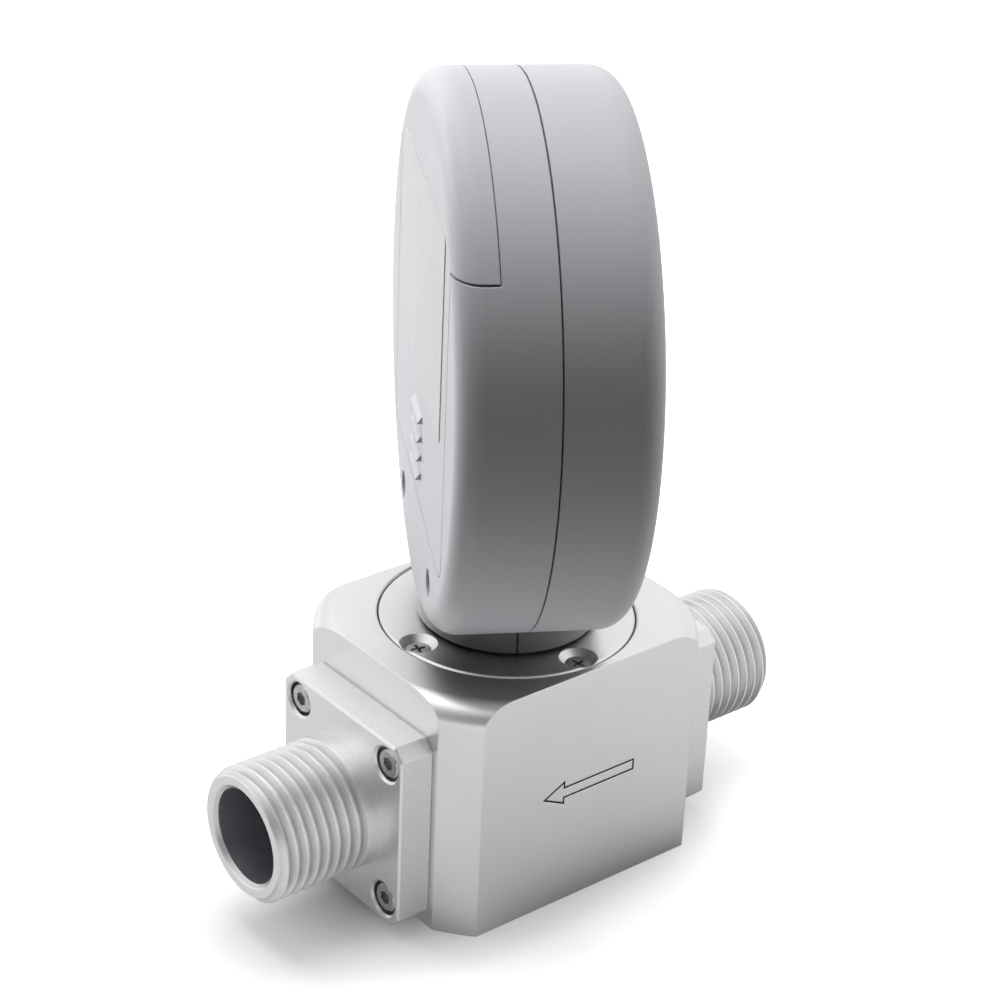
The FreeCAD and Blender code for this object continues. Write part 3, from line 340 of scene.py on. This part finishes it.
def turned_metal(name, color, roughness):
    """Smooth metal with faint level lines."""
    mat = Material(name, color, roughness, metallic=1.0)
    mat.bevel(MACHINED_EDGE)
    mat.bump(mat.noise(160, detail=4.0, finer=(1, 1, 40)), 0.000005)
    mat.rough(mat.noise(300), 0.06)
    mat.tint(mat.noise(200), shaded(color, 0.85))
    return mat


def label_film():
    """The bare sticker: matt film with a faint paper-like mottle, and painted light on its edges."""
    mat = Material("label_film", (0.59, 0.595, 0.60), 0.48, specular=0.4)
    mat.bevel(LABEL_EDGE)
    edges = mat.edge_mask()
    mat.bump(mat.noise(2200, detail=2.0), 0.000003)
    mat.rough(mat.noise(300), 0.05)
    mat.tint(mat.noise(80), (0.57, 0.575, 0.58))
    # Painted light: paler edges, so the label's side faces, which stand in shade, read light
    mat.where(edges, (0.85, 0.85, 0.85))
    return mat


def circuit_board():
    """Solder mask over faint tracks."""
    mat = Material("board_green", (0.03, 0.16, 0.08), 0.35)
    tracks = mat.node("ShaderNodeTexBrick", {
        "Vector": mat.place, "Scale": 300.0, "Mortar Size": 0.03}, offset=0.5)
    mat.tint(tracks.outputs["Fac"], (0.06, 0.26, 0.12), (0.4, 0.6))
    mat.bump(mat.noise(900, detail=2.0), 0.000008)
    return mat


def lcd():
    """A grey-green display with a faint cell grid."""
    mat = Material("lcd_glass", (0.42, 0.47, 0.38), 0.18)
    grid = mat.node("ShaderNodeTexChecker", {"Vector": mat.turned(HEAD_TURN), "Scale": 1100.0})
    mat.where(grid.outputs["Fac"], (0.41, 0.46, 0.37))
    mat.rough(mat.noise(200), 0.04)
    return mat


def window():
    """Clear acrylic."""
    mat = Material("window_clear", (0.92, 0.94, 0.95), 0.05)
    mat.shader.inputs["Transmission Weight"].default_value = 1.0
    mat.shader.inputs["IOR"].default_value = 1.49
    mat.rough(mat.noise(150), 0.02)
    return mat


def cell_jacket():
    """The dark glossy shrink film on the cells."""
    mat = Material("cell_jacket", (0.05, 0.06, 0.08), 0.28)
    mat.rough(mat.noise(260), 0.05)
    mat.bump(mat.noise(700, detail=2.0), 0.00001)
    mat.tint(mat.noise(60), (0.03, 0.035, 0.05))
    return mat


MATERIALS = {mat.name: mat for mat in (
    body_aluminium(),
    fitting_aluminium(),
    screw_steel(),
    rubber("rubber_black", (0.02, 0.02, 0.02)),
    moulded("moulded_white", (0.72, 0.72, 0.69), 0.5, 2500),
    moulded("moulded_black", (0.03, 0.03, 0.035), 0.45, 2500, shade=0.8),
    turned_metal("mesh_steel", (0.55, 0.55, 0.55), 0.35),
    moulded("housing_grey", (0.537, 0.548, 0.572), 0.42, 5200, shade=0.97),
    label_film(),
    circuit_board(),
    moulded("chip_black", (0.02, 0.02, 0.02), 0.4, 3500, shade=0.8),
    lcd(),
    window(),
    moulded("panel_dark", (0.045, 0.06, 0.085), 0.45, 3000, shade=0.85),
    rubber("key_rubber", (0.30, 0.31, 0.32)),
    cell_jacket(),
    turned_metal("contact_steel", (0.70, 0.69, 0.66), 0.28),
    rubber("wire_jacket", (0.45, 0.03, 0.03)),
)}

slot_of = {item["node"]: item["material_slot"] for item in frame["record"]["subparts"]}
for node_name, node in frame["nodes"].items():
    finish = MATERIALS[slot_of[node_name]].material
    if not node.data.materials:
        node.data.materials.append(finish)
    for i in range(len(node.data.materials)):
        node.data.materials[i] = finish


# The display's readings: text, left end, foot, width and height of a digit, as shares of the display
READINGS = (
    ("125.0", 0.17, 0.43, 0.12, 0.41),
    ("004863", 0.17, 0.13, 0.060, 0.19),
)
# From digit to digit as a share of the width, a stroke's width as a share of the height, and the
# gap at a stroke's end as a share of half its width
DIGIT_STEP = 1.42
STROKE_SHARE = 0.13
STROKE_GAP = 0.012
STROKE_THICKNESS = 0.00005
CORNERS = {"a": (0, 1, 1, 1), "b": (1, 1, 1, 0.5), "c": (1, 0.5, 1, 0), "d": (0, 0, 1, 0),
           "e": (0, 0.5, 0, 0), "f": (0, 1, 0, 0.5), "g": (0, 0.5, 1, 0.5)}
STROKES = {"0": "abcdef", "1": "bc", "2": "abdeg", "3": "abcdg", "4": "bcfg", "5": "acdfg",
           "6": "acdefg", "7": "abc", "8": "abcdefg", "9": "abcdfg"}


def stroke_outline(x0, z0, x1, z1, half):
    """A stroke of a seven-segment digit: a bar with pointed ends."""
    start, end = Vector((x0, z0)), Vector((x1, z1))
    along = (end - start).normalized()
    side = Vector((-along.y, along.x)) * half
    start, end = start + along * STROKE_GAP * half, end - along * STROKE_GAP * half
    inner_start, inner_end = start + along * half, end - along * half
    return [start, inner_start - side, inner_end - side, end, inner_end + side, inner_start + side]


def reading_outlines(text, left, low, wide, tall):
    """The outlines of every stroke and point of a number."""
    outlines = []
    half = tall * STROKE_SHARE / 2
    for sign in text:
        if sign == ".":
            point = left - wide * (DIGIT_STEP - 1) / 2
            outlines.append([Vector((point + i * half, low + j * half))
                             for i, j in ((-1, -1), (1, -1), (1, 1), (-1, 1))])
            continue
        for stroke in STROKES[sign]:
            x0, z0, x1, z1 = CORNERS[stroke]
            outlines.append(stroke_outline(left + x0 * wide, low + z0 * tall,
                                           left + x1 * wide, low + z1 * tall, half))
        left += wide * DIGIT_STEP
    return outlines


def make_digits():
    """Plain numbers on the face of the display, as thin dark strokes under the window."""
    across = Vector((math.cos(HEAD_TURN), math.sin(HEAD_TURN), 0))
    inward = Vector((-math.sin(HEAD_TURN), math.cos(HEAD_TURN), 0))
    corners = [v.co for v in frame["nodes"]["lcd_module"].data.vertices]
    left, right = (pick(v.dot(across) for v in corners) for pick in (min, max))
    low, high = (pick(v.z for v in corners) for pick in (min, max))
    face = min(v.dot(inward) for v in corners)
    wide, tall = right - left, high - low
    points, faces = [], []
    for text, start, foot, digit_wide, digit_tall in READINGS:
        for outline in reading_outlines(text, left + start * wide, low + foot * tall,
                                        digit_wide * wide, digit_tall * tall):
            first, count = len(points), len(outline)
            for depth in (face - STROKE_THICKNESS, face):
                points += [across * p.x + inward * depth + Vector((0, 0, p.y)) for p in outline]
            faces.append(list(range(first, first + count)))
            faces.append(list(reversed(range(first + count, first + 2 * count))))
            for i in range(count):
                j = (i + 1) % count
                faces.append([first + j, first + i, first + count + i, first + count + j])
    mesh = bpy.data.meshes.new("display_digits")
    mesh.from_pydata(points, [], faces)
    mesh.materials.append(MATERIALS["chip_black"].material)
    digits = bpy.data.objects.new("display_digits", mesh)
    bpy.context.scene.collection.objects.link(digits)
    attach(digits, "display_head")


def glow_around(tree, place, middle, weights, glows):
    """A grey level that changes with the distance from a point of the floor."""
    shifted = vector_of(tree, "SUBTRACT", place, (*middle, 0.0))
    weighted = vector_of(tree, "MULTIPLY", shifted, (*weights, 1.0))
    away = vector_of(tree, "LENGTH", weighted, result="Value")
    ramp = wired(tree, "ShaderNodeValToRGB", {0: math_of(tree, "DIVIDE", away, FLOOR_REACH)})
    stops = ramp.color_ramp.elements
    while len(stops) < len(glows):
        # Anywhere between the ramp's two own stops, because all the places are set below
        stops.new(0.5)
    for stop, (distance, level) in zip(stops, glows):
        stop.position = distance / FLOOR_REACH
        stop.color = (level, level, level, 1.0)
    return ramp.outputs["Color"]


def make_floor():
    """A plain pale floor, white away from the object; near it the lamps' shadow falls and a weaker
    glow paints more shadow.
    """
    bpy.ops.mesh.primitive_circle_add(vertices=FLOOR_CORNERS, radius=FLOOR_RADIUS, fill_type="NGON",
                                      location=(0, 0, 0))
    floor = bpy.context.object
    floor.name = "studio_floor"
    mat = bpy.data.materials.new("studio_floor")
    mat.use_nodes = True
    tree = mat.node_tree
    tree.nodes.clear()
    path = wired(tree, "ShaderNodeLightPath").outputs
    place = wired(tree, "ShaderNodeTexCoord").outputs["Object"]
    strength, tone = 0.0, 0.0
    # Each glow is painted light: painted shadow near the object, and a glowing patch that lights it
    for kind, middle, weights, glows, share in FLOOR_PAINTED_GLOWS:
        glow = glow_around(tree, place, middle, weights, glows)
        strength = math_of(tree, "ADD", strength, math_of(tree, "MULTIPLY", path[kind], glow))
        tone = math_of(tree, "ADD", tone, math_of(tree, "MULTIPLY", path[kind], share))
    diffuse = wired(tree, "ShaderNodeBsdfDiffuse", {"Color": tone})
    emission = wired(tree, "ShaderNodeEmission", {"Strength": strength})
    both = wired(tree, "ShaderNodeAddShader", {0: diffuse.outputs[0], 1: emission.outputs[0]})
    wired(tree, "ShaderNodeOutputMaterial", {"Surface": both.outputs[0]})
    floor.data.materials.append(mat)


def tone_towards(tree, way, middle, edge, outside, inside):
    """One tone about a direction of the world and another away from it, with a soft edge."""
    cosine = vector_of(tree, "DOT_PRODUCT", way, middle, result="Value")
    return ranged_of(tree, cosine, *edge, outside, inside, interpolation_type="SMOOTHSTEP")


def make_world():
    """White to the camera, darker on the camera's side in reflections, dim for diffuse light."""
    world = bpy.data.worlds.new("studio")
    bpy.context.scene.world = world
    world.use_nodes = True
    tree = world.node_tree
    tree.nodes.clear()
    path = wired(tree, "ShaderNodeLightPath").outputs
    way = wired(tree, "ShaderNodeTexCoord").outputs["Generated"]
    walls = tone_towards(tree, way, CAMERA_SIDE, CAMERA_SIDE_EDGE, FAR_SIDE_TONE, CAMERA_SIDE_TONE)
    ceiling = tone_towards(tree, way, OVERHEAD, OVERHEAD_EDGE, 0.0, OVERHEAD_TONE)
    studio = math_of(tree, "ADD", walls, ceiling)
    seen = math_of(tree, "MAXIMUM", path["Is Camera Ray"], path["Is Transmission Ray"])
    # Only before the first diffuse bounce, where the depth is 0 and not yet 1
    straight = math_of(tree, "LESS_THAN", path["Diffuse Depth"], 0.5)
    mirrored = math_of(tree, "MULTIPLY", path["Is Glossy Ray"], straight)
    glossy = math_of(tree, "MULTIPLY", mirrored, studio)
    strength = math_of(tree, "MAXIMUM", math_of(tree, "MAXIMUM", seen, glossy), WORLD_BOUNCE)
    sky = wired(tree, "ShaderNodeBackground", {"Color": (1.0, 1.0, 1.0, 1.0), "Strength": strength})
    wired(tree, "ShaderNodeOutputWorld", {"Surface": sky.outputs[0]})


def make_lamp(name, way, distance, side, level):
    """A square soft light. At level 1 it lights a facing surface to about its written colour."""
    lamp = bpy.data.lights.new(name, "AREA")
    lamp.shape = "SQUARE"
    lamp.size = side
    lamp.energy = level * math.pi ** 2 * distance ** 2
    holder = bpy.data.objects.new(name, lamp)
    way = Vector(way).normalized()
    holder.location = way * distance + LAMPS_AIM
    holder.rotation_euler = (-way).to_track_quat("-Z", "Y").to_euler()
    holder.visible_glossy = False
    bpy.context.scene.collection.objects.link(holder)


def make_camera():
    """The photograph's viewpoint."""
    lens = bpy.data.cameras.new("photo_view")
    lens.sensor_width = SENSOR_WIDTH
    lens.lens = FOCAL_PIXELS * SENSOR_WIDTH / PHOTO_PIXELS
    lens.clip_start = CAMERA_NEAR
    camera = bpy.data.objects.new("photo_view", lens)
    axes = Matrix((CAMERA_RIGHT, CAMERA_UP, CAMERA_BACK)).transposed()
    camera.matrix_world = Matrix.Translation(CAMERA_PLACE) @ axes.to_4x4()
    bpy.context.scene.collection.objects.link(camera)
    bpy.context.scene.camera = camera


make_digits()
make_floor()
make_world()
make_lamp("overhead_softbox", way=OVERHEAD, distance=0.9, side=0.6, level=1.20)
make_lamp("left_softbox", way=(-0.22, 0.96, 0.10), distance=0.8, side=0.5, level=1.20)
make_lamp("right_fill", way=(0.93, -0.33, 0.02), distance=0.8, side=0.5, level=0.56)
make_camera()

scene = bpy.context.scene
scene.view_settings.view_transform = "Standard"
